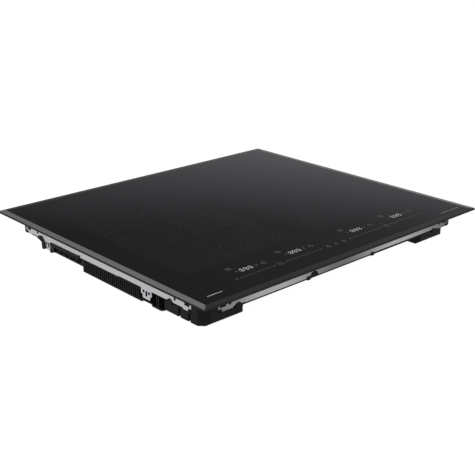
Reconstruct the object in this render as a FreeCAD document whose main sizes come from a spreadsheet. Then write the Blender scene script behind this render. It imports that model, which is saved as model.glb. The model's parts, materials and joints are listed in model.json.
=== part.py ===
import FreeCAD, Part
import math
import os
import re

import Sketcher

# A 60 cm built-in induction hob. Millimetres. X runs along the width and the front edge is at -Y.
# The origin is under the middle of the glass, on the plane of the tray's lowest face, with +Z up.

SHEET = "Sizes"
SIZES = {
    # glass
    "glass_width": 592, "glass_depth": 522, "glass_thick": 4, "bevel_width": 9.8, "bevel_drop": 0.7,
    "underside": 47,
    # foam seal under the rim of the glass, and the silicone between glass and rails
    "seal_inset": 4, "seal_width": 6, "seal_thick": 1.6, "bead_inset": 3, "bead_width": 9,
    # sheet steel rails that carry the glass: half lengths, outer faces, heights
    "side_face": 278.3, "front_face": 237.8, "rear_face": 232.2, "sheet": 1, "flange_width": 14,
    "rail_top": 46, "rail_bottom": 26, "rail_drop": 1, "drop_half": 205, "drop_right": 57, "drop_front": 50,
    "drop_rear": 52, "rail_half": 253, "side_front_end": 212.5, "side_rear_end": 204.5,
    # punched features of the rails: a window beside a narrow arm at each end, and a hanging lip
    "window_width": 10.8, "window_low": 30.5, "arm_width": 3, "arm_foot": 28.5, "foot_length": 6,
    "hole_radius": 2.4, "hole_height": 32.5, "lip_drop": 1.7, "lip_inset": 6.5, "side_lip": 10,
    "front_lip": 20, "front_hole": 21, "side_hole": 34, "notch_x": 69.4, "notch_radius": 8.7,
    "notch_height": 24, "slit_half": 1.4, "slit_low": 35.5, "slit_high": 44,
    # fixing tabs on the side rails
    "tab_front": 115.6, "tab_rear": 139, "tab_half": 12, "tab_foot_half": 8.7, "tab_shoulder": 17.4,
    "tab_bottom": 11.3, "tab_corner": 1.2, "tab_hole_pitch": 12.5, "tab_hole_height": 21.6,
    "tab_slot_half": 2.2, "tab_slot_low": 15.3, "tab_slot_high": 23.5,
    # tray: plan, wall, and the outer level of each stepped floor
    "corner_radius": 30, "tray_gap": 0.3, "tray_side": 277, "rail_inset": 1.3, "wall": 2.2,
    "floor_thick": 2, "tray_top": 44.5, "shelf_floor": 23, "skirt_top": 23.8, "skirt_side": 278,
    "skirt_front": 237.5, "rim_bottom": 22, "well_floor": 4, "deep_floor": 0, "deep_half": 228,
    "well_front": 148.5, "well_rear": 42.5, "deep_rear": 158, "lattice_floor": 12.2,
    "lattice_rear": 127, "box_floor": 9.2, "left_box_edge": 209, "left_box_rear": 146,
    "box_corner": 12.5, "right_box_near": 176.5, "right_box_far": 243, "right_box_rear": 190,
    "right_box_corner": 6, "box_bevel_run": 5, "box_bevel_rise": 3.6,
    # openings in the side walls: outlet slots, lattice cells, and two slots in the left box
    "outlet_rear": 38, "outlet_low": 6.6, "outlet_high": 22.2, "cell_front": 47, "cell_low": 14.6,
    "cell_high": 22.4, "strut_thick": 1.8, "slot_rear_high": 22.7, "slot_front_high": 21.6,
    "slot_rear_y": 190.1, "slot_front_y": 210.4, "slot_width": 4.2,
    # recesses behind the tabs, with the front one closed below by a ledge, and the ribbed recess
    "recess_depth": 12, "recess_half": 14.3, "recess_lining_low": 11, "ledge_low": 6.7,
    "ledge_high": 9, "ledge_notch_half": 11.5, "rib_depth": 8, "rib_low": 7, "rib_rear": 130.2,
    "rib_front": 156, "rib_base": 5, "rib_base_front": 152, "rib_first": 137.3,
    "rib_second": 141.2, "rib_width": 2.2,
    # clips outside the rails
    "clip_gap": 0.2, "clip_thick": 1.1, "clip_low": 21.5, "clip_ceiling": 24.2, "clip_depth": 12,
    "front_ear_x": 216.6, "left_ear_top": 28.9, "left_ear_radius": 6.6, "right_ear_top": 27.6,
    "right_ear_radius": 5.4, "foot_width": 6, "left_foot_x": 84, "right_foot_x": 57.5, "foot_top": 26.8,
    "side_ear_y": 167.6, "side_ear_top": 29.5, "side_ear_radius": 5.6, "ledge_clip_front": 54,
    "ledge_clip_rear": 129, "ledge_clip_top": 26.3,
    # power electronics
    "module_near": 112, "module_far": 224, "module_front": 138, "module_rear": 38, "board_thick": 1.6,
    "board_level": 8, "device_height": 4.4, "sink_front": 92, "sink_base": 3, "fin_top": 33,
    "fin_thick": 1.6, "fin_pitch": 6.2,
    # cooling blowers
    "fan_x": 60, "fan_y": 30, "fan_half": 45, "fan_low": 6, "fan_high": 34, "fan_cover": 1.5,
    "scroll_radius": 42, "inlet_radius": 29, "rotor_radius": 38, "blade_inner": 28, "blade_low": 9,
    "plate_low": 20, "plate_thick": 1.5, "cup_radius": 16, "cup_wall": 1.5, "cup_top": 31,
    "shaft_radius": 1.5, "shaft_bore": 1.55, "shaft_low": 12, "stator_radius": 13.5, "stator_low": 23,
    # induction coils
    "zone_x": 135, "coil_first": -104, "coil_pitch": 92, "coil_straight": 51, "former_radius": 44,
    "coil_radius": 42, "coil_bore": 9, "former_hole": 1.6, "coil_top": 46.4, "coil_thick": 3.8,
    "former_thick": 2,
    "ferrite_thick": 4, "ferrite_width": 10, "ferrite_length": 74, "ferrite_pitch": 34,
    "sensor_radius": 4, "mica_thick": 0.6, "mica_width": 212, "mica_front": 152, "mica_rear": 216,
    "carrier_width": 216, "carrier_front": 150, "carrier_rear": 217, "carrier_level": 34.8,
    "carrier_thick": 1.2,
    # touch control
    "control_half": 215, "control_front": 222, "control_rear": 172, "control_level": 42.4,
    "digit_width": 24, "digit_depth": 13, "digit_height": 2.6, "digit_row": 197, "slider_row": 216,
    "slider_outer": 166, "slider_inner": 68, "spring_radius": 2.6,
    # mains connection
    "filter_half": 104, "filter_front": 62, "filter_rear": 142, "terminal_y": 187,
    "terminal_half": 25, "terminal_low": 27.2, "terminal_high": 40, "terminal_rear": 214,
    "hatch_half": 28, "hatch_depth": 18.5, "hatch_overlap": 4, "lid_thick": 2, "lid_gap": 0.5,
    "hinge_y": 213, "hinge_z": 20.3, "barrel_radius": 2, "pin_radius": 1, "pin_bore": 1.05,
    "inlet_x": 62, "inlet_y": 187, "grommet_bore": 4.5, "grommet_neck": 6.5, "grommet_flange": 8.5,
}

COILS_PER_ZONE = 4
SIDE_SLOTS = 28
SIDE_SLOT_PITCH = 5.05
SIDE_SLOT_WIDTH = 2.5
LATTICE_CELLS = 5
LATTICE_PITCH = 15.8
CELL_LENGTH = 13.4
STRUT_LENGTH = 16.5
STRUT_ANGLE = 24
GRILLE_BARS = 11
GRILLE_PITCH = 5.6
GRILLE_SLOT = 3.4
FAN_BLADES = 28
SIDES = {"left": -1, "right": 1}

doc = FreeCAD.newDocument("InductionHob")
nodes = []


def make_sheet():
    """Write every driving size into the spreadsheet, with its alias."""
    sheet = doc.addObject("Spreadsheet::Sheet", SHEET)
    for row, (alias, value) in enumerate(SIZES.items(), start=1):
        sheet.set(f"A{row}", alias)
        sheet.set(f"B{row}", str(value))
        sheet.setAlias(f"B{row}", alias)
    doc.recompute()


def sized(expression):
    """The expression with the sheet's name before each alias."""
    def named(word):
        return f"{SHEET}.{word.group()}" if word.group() in SIZES else word.group()
    return re.sub(r"[a-z_]+", named, str(expression))


def place(thing, x="0", y="0", z="0", turn=0):
    """Bind a thing's position to the sheet; turn is in degrees about Z."""
    if turn:
        thing.Placement.Rotation = FreeCAD.Rotation(FreeCAD.Vector(0, 0, 1), turn)
    for axis, where in (("x", x), ("y", y), ("z", z)):
        thing.setExpression(f"Placement.Base.{axis}", sized(where))
    return thing


def keep(thing, label):
    """Name a finished sub-part."""
    thing.Label = label
    nodes.append(thing)
    return thing


def span(side, near, far):
    """Low and high ends of a stretch that lies between two distances from the middle."""
    return (near, far) if side > 0 else (f"-({far})", f"-({near})")


# ---- Part primitives and booleans

def block(x, y, z, name="Block"):
    """A box between (low, high) expressions on each axis."""
    box = doc.addObject("Part::Box", name)
    for size, (low, high) in (("Length", x), ("Width", y), ("Height", z)):
        box.setExpression(size, sized(f"({high}) - ({low})"))
    return place(box, x[0], y[0], z[0])


def rod(centre, ends, radius, axis="z", name="Rod"):
    """A cylinder along an axis; centre holds the other two coordinates in X, Y, Z order."""
    cylinder = doc.addObject("Part::Cylinder", name)
    cylinder.setExpression("Radius", sized(radius))
    cylinder.setExpression("Height", sized(f"({ends[1]}) - ({ends[0]})"))
    first, second = centre
    if axis == "x":
        cylinder.Placement.Rotation = FreeCAD.Rotation(FreeCAD.Vector(0, 1, 0), 90)
        return place(cylinder, ends[0], first, second)
    if axis == "y":
        cylinder.Placement.Rotation = FreeCAD.Rotation(FreeCAD.Vector(1, 0, 0), -90)
        return place(cylinder, first, ends[0], second)
    return place(cylinder, first, second, ends[0])


def fuse(parts, name="Fused"):
    result = doc.addObject("Part::MultiFuse", name)
    result.Shapes = parts
    return result


def group(parts, name="Group"):
    """Separate solids that share one node."""
    result = doc.addObject("Part::Compound", name)
    result.Links = parts
    return result


def common(base, tool, name="Common"):
    result = doc.addObject("Part::Common", name)
    result.Base, result.Tool = base, tool
    return result


def cut(base, tools, name="Cut"):
    result = doc.addObject("Part::Cut", name)
    result.Base = base
    result.Tool = tools[0] if len(tools) == 1 else group(tools, name + "Tools")
    return result


def cornered_prism(x, y, z, size, kind="Part::Fillet", name="Prism"):
    """A block with its four upright edges rounded, or chamfered."""
    base = block(x, y, z, name + "Block")
    doc.recompute()
    upright = []
    for number, edge in enumerate(base.Shape.Edges, start=1):
        first, last = edge.Vertexes[0].Point, edge.Vertexes[-1].Point
        if abs(first.x - last.x) < 0.001 and abs(first.y - last.y) < 0.001:
            upright.append((number, size, size))
    result = doc.addObject(kind, name)
    result.Base = base
    result.Edges = upright
    return result


# ---- PartDesign bodies and sketches

def new_body(name):
    return doc.addObject("PartDesign::Body", name)


def sketch(body, role, offset="0", name="Profile"):
    """A sketch on one of the body's own origin planes, moved along the plane's normal."""
    result = body.newObject("Sketcher::SketchObject", name)
    plane = next(feature for feature in body.Origin.OriginFeatures if feature.Role == role)
    result.AttachmentSupport = [(plane, "")]
    result.MapMode = "FlatFace"
    result.setExpression("AttachmentOffset.Base.z", sized(offset))
    return result


def bind(result, constraint, expression):
    number = result.addConstraint(constraint)
    result.setExpression(f"Constraints[{number}]", sized(expression))


def polygon(result, corners):
    """A closed outline whose corners are held at (x, y) expressions."""
    first = result.GeometryCount
    count = len(corners)
    rough = Part.makeCircle(10).discretize(count + 1)
    for number in range(count):
        result.addGeometry(Part.LineSegment(rough[number], rough[(number + 1) % count]), False)
    for number in range(count):
        following = (number + 1) % count
        joint = Sketcher.Constraint("Coincident", first + number, 2, first + following, 1)
        result.addConstraint(joint)
    for number, (x, y) in enumerate(corners):
        line = first + number
        bind(result, Sketcher.Constraint("DistanceX", -1, 1, line, 1, rough[number].x), x)
        bind(result, Sketcher.Constraint("DistanceY", -1, 1, line, 1, rough[number].y), y)


def rectangle(result, x, y):
    polygon(result, [(x[0], y[0]), (x[1], y[0]), (x[1], y[1]), (x[0], y[1])])


def circle(result, radius, x="0", y="0"):
    number = result.addGeometry(Part.Circle(FreeCAD.Vector(1, 1, 0), FreeCAD.Vector(0, 0, 1), 1), False)
    bind(result, Sketcher.Constraint("DistanceX", -1, 1, number, 3, 1), x)
    bind(result, Sketcher.Constraint("DistanceY", -1, 1, number, 3, 1), y)
    bind(result, Sketcher.Constraint("Radius", number, 1), radius)


def stadium(result, half_straight, radius):
    """Two half circles joined by straight sides; both sizes are aliases."""
    half, round_end = SIZES[half_straight], SIZES[radius]
    up = FreeCAD.Vector(0, 0, 1)
    quarter = math.pi / 2
    right = Part.Circle(FreeCAD.Vector(half, 0, 0), up, round_end)
    left = Part.Circle(FreeCAD.Vector(-half, 0, 0), up, round_end)
    arc_right = result.addGeometry(Part.ArcOfCircle(right, -quarter, quarter), False)
    top = result.addGeometry(Part.LineSegment(FreeCAD.Vector(half, round_end, 0),
                                              FreeCAD.Vector(-half, round_end, 0)), False)
    arc_left = result.addGeometry(Part.ArcOfCircle(left, quarter, 3 * quarter), False)
    bottom = result.addGeometry(Part.LineSegment(FreeCAD.Vector(-half, -round_end, 0),
                                                 FreeCAD.Vector(half, -round_end, 0)), False)
    loop = [arc_right, top, arc_left, bottom]
    for number, geometry in enumerate(loop):
        following = loop[(number + 1) % 4]
        result.addConstraint(Sketcher.Constraint("Tangent", geometry, 2, following, 1))
    result.addConstraint(Sketcher.Constraint("Equal", arc_right, arc_left))
    for arc, sign in ((arc_right, ""), (arc_left, "-")):
        bind(result, Sketcher.Constraint("DistanceX", -1, 1, arc, 3, half), sign + half_straight)
        bind(result, Sketcher.Constraint("DistanceY", -1, 1, arc, 3, 0), "0")
    bind(result, Sketcher.Constraint("Radius", arc_right, round_end), radius)


def pad(body, profile, length, reverse=False, name="Pad"):
    feature = body.newObject("PartDesign::Pad", name)
    feature.Profile = profile
    feature.setExpression("Length", sized(length))
    feature.Reversed = reverse
    return feature


def pocket(body, profile, length, reverse=False, name="Pocket"):
    """Cut against the sketch's normal, or along it when reversed, and make sure that it cut."""
    doc.recompute()
    before = body.Shape.Volume
    feature = body.newObject("PartDesign::Pocket", name)
    feature.Profile = profile
    feature.setExpression("Length", sized(length))
    feature.Reversed = reverse
    doc.recompute()
    if body.Shape.Volume > before - 0.01:
        raise RuntimeError(f"{body.Name}: {name} cuts nothing")
    return feature


# ---- glass, seal and rails

def make_glass():
    """A flat slab with a long shallow bevel round its top."""
    body = new_body("GlassTop")
    wide = ("-glass_width / 2", "glass_width / 2"), ("-glass_depth / 2", "glass_depth / 2")
    outline = sketch(body, "XY_Plane")
    rectangle(outline, *wide)
    pad(body, outline, "glass_thick - bevel_drop")
    lower = sketch(body, "XY_Plane", "glass_thick - bevel_drop", "BevelFoot")
    rectangle(lower, *wide)
    upper = sketch(body, "XY_Plane", "glass_thick", "BevelTop")
    rectangle(upper, ("bevel_width - glass_width / 2", "glass_width / 2 - bevel_width"),
              ("bevel_width - glass_depth / 2", "glass_depth / 2 - bevel_width"))
    doc.recompute()
    bevel = body.newObject("PartDesign::AdditiveLoft", "Bevel")
    bevel.Profile = lower
    bevel.Sections = [upper]
    bevel.Ruled = True
    keep(place(body, z="underside"), "glass_top")


def ring_strips(x_half, y_front, y_rear, width, z):
    """Four strips that butt at the corners of a rectangle."""
    across = (f"-({x_half})", x_half)
    between = (f"{y_front} + {width}", f"{y_rear} - {width}")
    return [
        block(across, (y_front, f"{y_front} + {width}"), z),
        block(across, (f"{y_rear} - {width}", y_rear), z),
        block((f"-({x_half})", f"-({x_half}) + {width}"), between, z),
        block((f"{x_half} - {width}", x_half), between, z),
    ]


def make_seal_and_bead():
    seal = ring_strips("(glass_width / 2 - seal_inset)", "(seal_inset - glass_depth / 2)",
                       "(glass_depth / 2 - seal_inset)", "seal_width",
                       ("underside - seal_thick", "underside"))
    keep(group(seal, "Seal"), "edge_seal")
    bead = ring_strips("(side_face - bead_inset)", "(bead_inset - front_face)",
                       "(rear_face - bead_inset)", "bead_width", ("rail_top", "underside"))
    keep(group(bead, "Bead"), "silicone_bead")


def rail(label, low, high, drops, lip, hole, tabs=(), slots=(), notches=()):
    """An angle of sheet steel along X, with its outer face on y = 0 and its flange towards +Y.

    drops are (low x, high x) stretches where the lower edge hangs further down. lip is the length
    of the hanging lip at each end, and hole the distance of the small hole from the end. tabs,
    slots and notches are places along X.
    """
    body = new_body(label.title().replace("_", ""))
    section = sketch(body, "YZ_Plane", low)
    polygon(section, [
        ("0", "rail_bottom"), ("sheet", "rail_bottom"), ("sheet", "rail_top - sheet"),
        ("flange_width", "rail_top - sheet"), ("flange_width", "rail_top"), ("0", "rail_top")])
    pad(body, section, f"({high}) - ({low})")
    edges = [(start, stop, "rail_drop") for start, stop in drops]
    edges.append((f"{low} + lip_inset", f"{low} + lip_inset + {lip}", "lip_drop"))
    edges.append((f"{high} - lip_inset - {lip}", f"{high} - lip_inset", "lip_drop"))
    for start, stop, depth in edges:
        edge = sketch(body, "XZ_Plane")
        rectangle(edge, (start, stop), (f"rail_bottom - {depth}", "rail_bottom + 1"))
        pad(body, edge, "sheet", reverse=True, name="Drop")
    for centre in tabs:
        half = [("tab_half", "rail_bottom + 1"), ("tab_half", "tab_shoulder"),
                ("tab_foot_half", "tab_shoulder"), ("tab_foot_half", "tab_bottom + tab_corner"),
                ("tab_foot_half - tab_corner", "tab_bottom")]
        corners = [(f"{centre} + {x}", z) for x, z in half]
        corners += [(f"{centre} - ({x})", z) for x, z in reversed(half)]
        plate = sketch(body, "XZ_Plane")
        polygon(plate, corners)
        pad(body, plate, "sheet", reverse=True, name="Tab")
    punched = sketch(body, "XZ_Plane")
    window = ("window_low", "rail_top - sheet")
    foot = ("rail_bottom - 1", "arm_foot")
    rectangle(punched, (f"{low} + arm_width", f"{low} + arm_width + window_width"), window)
    rectangle(punched, (f"{high} - arm_width - window_width", f"{high} - arm_width"), window)
    rectangle(punched, (f"{low} - 1", f"{low} + foot_length"), foot)
    rectangle(punched, (f"{high} - foot_length", f"{high} + 1"), foot)
    for centre in (f"{low} + {hole}", f"{high} - {hole}"):
        circle(punched, "hole_radius", centre, "hole_height")
    for centre in slots:
        rectangle(punched, (f"{centre} - slit_half", f"{centre} + slit_half"), ("slit_low", "slit_high"))
    for centre in tabs:
        for sign in ("-", "+"):
            circle(punched, "hole_radius", f"{centre} {sign} tab_hole_pitch / 2", "tab_hole_height")
        rectangle(punched, (f"{centre} - tab_slot_half", f"{centre} + tab_slot_half"),
                  ("tab_slot_low", "tab_slot_high"))
    pocket(body, punched, "sheet + 1", name="Punching")
    for centre in notches:
        arch = sketch(body, "XZ_Plane")
        circle(arch, "notch_radius", centre, "notch_height")
        pocket(body, arch, "sheet + 1", name="Notch")
    return body


def make_rails():
    front = rail("front_rail", "-rail_half", "rail_half", [("-drop_half", "drop_right")],
                 "front_lip", "front_hole", slots=("front_hole - rail_half",), notches=("-notch_x",))
    keep(place(front, y="-front_face"), "front_rail")
    rear = rail("rear_rail", "-rail_half", "rail_half", [("-drop_half", "drop_half")],
                "front_lip", "front_hole")
    keep(place(rear, y="rear_face", turn=180), "rear_rail")
    left = rail("left_rail", "-side_rear_end", "side_front_end", [("-drop_rear", "drop_front")], "side_lip",
                "side_hole", tabs=("-tab_rear", "tab_front"))
    keep(place(left, x="-side_face", turn=-90), "left_rail")
    right = rail("right_rail", "-side_front_end", "side_rear_end", [("-drop_front", "drop_rear")], "side_lip",
                 "side_hole", tabs=("-tab_front", "tab_rear"))
    keep(place(right, x="side_face", turn=90), "right_rail")


# ---- tray

def outline_prism(x, corners, name="Outline"):
    """A solid between two places on X, with its outline given as (y, z) corners."""
    body = new_body(name)
    outline = sketch(body, "YZ_Plane", x[0])
    polygon(outline, corners)
    pad(body, outline, f"({x[1]}) - ({x[0]})")
    return body


def tray_shell():
    """The outer steps of the tray less the inner steps, each kept inside a plan with cut corners."""
    radius = SIZES["corner_radius"]
    across = ("-skirt_side", "skirt_side")
    front, rear = "rail_inset - front_face", "rear_face - rail_inset"
    steps = [
        (across, ("-well_front", "well_rear"), "well_floor"),
        (("-deep_half", "deep_half"), ("-well_front", "deep_rear"), "deep_floor"),
        (across, ("well_rear - 0.1", "lattice_rear"), "lattice_floor"),
        (("-skirt_side", "-left_box_edge"), ("-skirt_front", "-left_box_rear"), "box_floor"),
        (("right_box_near", "right_box_far"), ("-skirt_front", "-right_box_rear"), "box_floor"),
    ]
    outer, inner = [], []
    for number, (x, y, floor) in enumerate(steps, start=1):
        outside = (x, y, (floor, "skirt_top"))
        inside = [(f"{low} + wall", f"{high} - wall") for low, high in (x, y)]
        inside.append((f"{floor} + floor_thick", "shelf_floor + 5"))
        if number == len(steps):
            outer.append(cornered_prism(*outside, SIZES["right_box_corner"], "Part::Chamfer"))
            inner.append(cornered_prism(*inside, SIZES["right_box_corner"], "Part::Chamfer"))
        else:
            outer.append(block(*outside))
            inner.append(block(*inside))
    skirt_plan = cornered_prism(across, ("-skirt_front", "rear_face - tray_gap"), ("0", "skirt_top"),
                                SIZES["box_corner"], "Part::Chamfer")
    skirt = common(skirt_plan, fuse(outer, "OuterSteps"), "Skirt")
    shelf = cornered_prism(("-tray_side", "tray_side"), (front, rear), ("shelf_floor", "tray_top"),
                           radius - 1)
    rim = block(("-left_box_edge - 1", "right_box_near + 8"), (front, f"{front} + wall"),
                ("rim_bottom", "skirt_top"), "Rim")
    cavity = (("-tray_side + wall", "tray_side - wall"), (f"{front} + wall", f"{rear} - wall"))
    inner.append(block(*cavity, ("shelf_floor + floor_thick", "tray_top + 1")))
    inner_plan = cornered_prism(*cavity, ("0", "tray_top + 1"), radius - SIZES["wall"] - 1)
    hollow = common(inner_plan, fuse(inner, "InnerSteps"), "Hollow")
    bevel = outline_prism(("-skirt_side - 1", "right_box_far + 1"), [
        ("-skirt_front - box_bevel_run", "box_floor + 2 * box_bevel_rise"),
        ("-skirt_front - box_bevel_run", "box_floor - box_bevel_rise"),
        ("-skirt_front + 2 * box_bevel_run", "box_floor - box_bevel_rise")], "BoxBevel")
    return cut(fuse([skirt, shelf, rim], "Outside"), [hollow, bevel], "Shell")


def corner_posts():
    """Posts that close the gaps between the rails and reach the silicone bead.

    The front left one is flush with the box below it, and the other three are rounded.
    """
    radius = SIZES["corner_radius"]
    height = ("shelf_floor", "rail_top")
    inside = cornered_prism(("-tray_side + wall", "tray_side - wall"),
                            ("rail_inset - front_face + wall", "rear_face - rail_inset - wall"),
                            ("0", "rail_top + 1"), radius - SIZES["wall"] - 1)
    rounded = cornered_prism(("-side_face", "side_face"), ("-front_face", "rear_face"), height, radius)
    flush = cornered_prism(("-skirt_side", "skirt_side"), ("-skirt_front", "rear_face"), height,
                           SIZES["box_corner"], "Part::Chamfer")
    posts = []
    for side in SIDES.values():
        x = span(side, "rail_half + tray_gap", "side_face + 1")
        front = block(x, ("-front_face - 1", "-side_front_end - tray_gap"), ("0", "rail_top + 2"))
        rear = block(x, ("side_rear_end + tray_gap", "rear_face + 1"), ("0", "rail_top + 2"))
        posts.append(common(cut(flush if side < 0 else rounded, [inside], "PostRing"), front, "Post"))
        posts.append(common(cut(rounded, [inside], "PostRing"), rear, "Post"))
    return posts


def ear(axis, face, root, middle, top, radius):
    """A round-topped ear outside a rail, joined to the tray by a bar that passes under the rail."""
    disc = rod((middle, f"{top} - {radius}"), face, radius, axis)
    across = (f"{middle} - {radius}", f"{middle} + {radius}")
    upper = [across, face] if axis == "y" else [face, across]
    lower = [across, root] if axis == "y" else [root, across]
    rounded = common(disc, block(*upper, ("clip_low", f"{top} + 1")), "Ear")
    return [rounded, block(*lower, ("clip_low", "shelf_floor + 0.6"))]


def make_clips():
    """What grips the rails from outside: ears, small feet, and brackets beside the rear tabs."""
    outside = "side_face + clip_gap + clip_thick"
    face = ("-front_face - clip_gap - clip_thick", "-front_face - clip_gap")
    root = (face[0], "rail_inset - front_face + 1")
    clips = ear("y", face, root, "-front_ear_x", "left_ear_top", "left_ear_radius")
    clips += ear("y", face, root, "front_ear_x", "right_ear_top", "right_ear_radius")
    for low in ("-left_foot_x", "right_foot_x"):
        across = (low, f"{low} + foot_width")
        clips.append(block(across, face, ("rim_bottom", "foot_top")))
        clips.append(block(across, root, ("rim_bottom", "shelf_floor + 0.6")))
    for side in SIDES.values():
        face = span(side, "side_face + clip_gap", outside)
        root = span(side, "tray_side - 1", outside)
        clips += ear("x", face, root, "-side_ear_y", "side_ear_top", "side_ear_radius")
        clips.append(block(face, ("ledge_clip_front", "ledge_clip_rear"), ("clip_low", "ledge_clip_top")))
        clips.append(block(root, ("ledge_clip_front", "lattice_rear"), ("clip_low", "clip_ceiling")))
        bump = ("ledge_clip_front - 3.5", "ledge_clip_front")
        clips.append(block(face, bump, ("clip_low", "ledge_clip_top + 1.1")))
        deep = span(side, "skirt_side - clip_depth", outside)
        behind_plate = span(side, "skirt_side - clip_depth - 1", "side_face + clip_gap")
        everywhere = ("lattice_rear - 20", "lattice_rear + 60")
        rail_room = block(behind_plate, everywhere, ("clip_ceiling", "rail_top"))
        tab_room = block(behind_plate, ("tab_rear - tab_half - 0.5", "tab_rear + tab_half + 0.5"),
                         ("0", "rail_top"))
        rear = outline_prism(deep, [
            ("171", "24.4"), ("169.4", "27.1"), ("161.5", "29.9"), ("156.4", "29.7"),
            ("154.3", "26.1"), ("149", "21.3"), ("147.3", "14.9"), ("146", "11.9"),
            ("151.4", "9.6"), ("157.6", "9.1"), ("158.2", "16.7"), ("157.7", "20.3")], "RearBracket")
        front = outline_prism(deep, [
            ("120.5", "12.9"), ("120.5", "25.9"), ("133", "25.9"), ("131.5", "19"),
            ("134.8", "10"), ("129", "9.4")], "FrontBracket")
        clips.append(cut(fuse([rear, front], "Brackets"), [rail_room, tab_room], "BracketPair"))
    return clips


def side_openings():
    """Air outlet slots, lattice windows and the left box's slots in the side walls."""
    tools = []
    for side in SIDES.values():
        through = span(side, "tray_side - wall - 1", "skirt_side + 1")
        for number in range(SIDE_SLOTS):
            rear = f"outlet_rear - {SIDE_SLOT_PITCH * number}"
            tools.append(block(through, (f"{rear} - {SIDE_SLOT_WIDTH}", rear),
                               ("outlet_low", "outlet_high")))
        for number in range(LATTICE_CELLS):
            front = f"cell_front + {LATTICE_PITCH * number}"
            tools.append(block(through, (front, f"{front} + {CELL_LENGTH}"), ("cell_low", "cell_high")))
    left = ("-skirt_side - 1", "-tray_side + wall + 1")
    for front, high in (("-slot_rear_y", "slot_rear_high"), ("-slot_front_y", "slot_front_high")):
        tools.append(block(left, (front, f"{front} + slot_width"), ("box_floor - 1", high)))
    return tools


def lattice_struts():
    """One slanting strut in each lattice window."""
    struts = []
    for side in SIDES.values():
        for number in range(LATTICE_CELLS):
            strut = block(("0", "wall"), ("0", f"{STRUT_LENGTH}"), ("0", "strut_thick"), "Strut")
            strut.Placement.Rotation = FreeCAD.Rotation(FreeCAD.Vector(1, 0, 0), STRUT_ANGLE)
            low = span(side, "skirt_side - wall - 0.3", "skirt_side - 0.3")[0]
            start = f"cell_front - 0.4 + {LATTICE_PITCH * number}"
            struts.append(place(strut, low, start, "cell_low - 0.8"))
    return struts


def tab_recesses():
    """Set-back walls behind the fixing tabs and the ribbed recess, and what is cut out of them."""
    recesses, walls = [], []
    for side in SIDES.values():
        outer = span(side, "skirt_side - recess_depth", "skirt_side + 1")
        lining = span(side, "skirt_side - recess_depth - wall", "tray_side")
        for middle, base, low in (("-tab_front", "well_floor", "ledge_high"),
                                  ("tab_rear", "recess_lining_low", "-1")):
            y = (f"{middle} - recess_half", f"{middle} + recess_half")
            recesses.append(block(outer, y, (low, "shelf_floor + 1.5")))
            walls.append(block(lining, (f"{y[0]} - wall", f"{y[1]} + wall"), (base, "shelf_floor + 3.7")))
        notch = ("-tab_front - ledge_notch_half", "-tab_front + ledge_notch_half")
        recesses.append(block(outer, notch, ("-1", "ledge_low")))
    lining = ("-tray_side", "-skirt_side + rib_depth + wall")
    walls.append(block(lining, ("-rib_base_front", "-rib_rear + 0.2"), ("rib_base", "shelf_floor + 3.7")))
    walls.append(block(lining, ("-rib_front - wall", "-rib_base_front"), ("box_floor", "shelf_floor + 3.7")))
    outer = ("-skirt_side - 1", "-skirt_side + rib_depth")
    cells = (("-rib_front", "-rib_second - rib_width"), ("-rib_second", "-rib_first - rib_width"),
             ("-rib_first", "-rib_rear"))
    for cell in cells:
        recesses.append(block(outer, cell, ("rib_low", "shelf_floor + 1.3")))
    return walls, recesses


def floor_openings():
    """Grilles under the two blowers, the terminal hatch and the cable inlet."""
    tools = []
    for side in SIDES.values():
        for number in range(GRILLE_BARS):
            offset = (number - (GRILLE_BARS - 1) / 2) * GRILLE_PITCH
            reach = (SIZES["inlet_radius"] ** 2 - offset ** 2) ** 0.5
            middle = f"{side} * fan_x + {offset}"
            tools.append(block((f"{middle} - {GRILLE_SLOT / 2}", f"{middle} + {GRILLE_SLOT / 2}"),
                               (f"-fan_y - {reach}", f"-fan_y + {reach}"), ("-1", "floor_thick + 1")))
    tools.append(block(("-hatch_half", "hatch_half"),
                       ("terminal_y - hatch_depth", "terminal_y + hatch_depth"),
                       ("shelf_floor - 1", "shelf_floor + floor_thick + 1")))
    tools.append(rod(("inlet_x", "inlet_y"), ("shelf_floor - 1", "shelf_floor + floor_thick + 1"),
                     "grommet_neck"))
    return tools


def tray_fittings():
    """Stand-offs for the boards and the coil carriers, and the lugs of the terminal lid."""
    parts = []
    for side in SIDES.values():
        for x in ("module_near + 4", "module_far - 4"):
            for y in ("-module_front + 4", "module_rear - 4"):
                parts.append(rod((f"{side} * ({x})", y), ("0.5", "board_level"), "3"))
        for x, floor in (("zone_x - carrier_width / 2 + 5", "deep_floor"),
                         ("zone_x + carrier_width / 2 - 5", "well_floor")):
            parts.append(rod((f"{side} * ({x})", "-carrier_front + 6"),
                             (f"{floor} + 0.5", "carrier_level"), "3.2"))
            parts.append(rod((f"{side} * ({x})", "carrier_rear - 6"),
                             ("shelf_floor + 0.5", "carrier_level"), "3.2"))
        parts.append(rod((f"{side} * (filter_half - 5)", "filter_front + 5"), ("0.5", "board_level"), "3"))
        parts.append(rod((f"{side} * (filter_half - 5)", "filter_rear - 5"), ("0.5", "board_level"), "3"))
        lug_x = span(side, "hatch_half - 1", "hatch_half + 3")
        plate = block(lug_x, ("hinge_y - 3", "hinge_y + 3"), ("hinge_z - 3", "shelf_floor + 0.5"))
        parts.append(cut(plate, [rod(("hinge_y", "hinge_z"), lug_x, "pin_radius", "x")], "Lug"))
    return parts


def make_tray():
    walls, recesses = tab_recesses()
    solid = fuse([tray_shell(), *corner_posts(), *walls, *make_clips()], "TraySolid")
    opened = cut(solid, [*side_openings(), *recesses, *floor_openings()], "TrayOpened")
    keep(fuse([opened, *lattice_struts(), *tray_fittings()], "Tray"), "lower_tray")


# ---- induction coils

def coil_y(number):
    return f"coil_first + {number} * coil_pitch"


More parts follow.
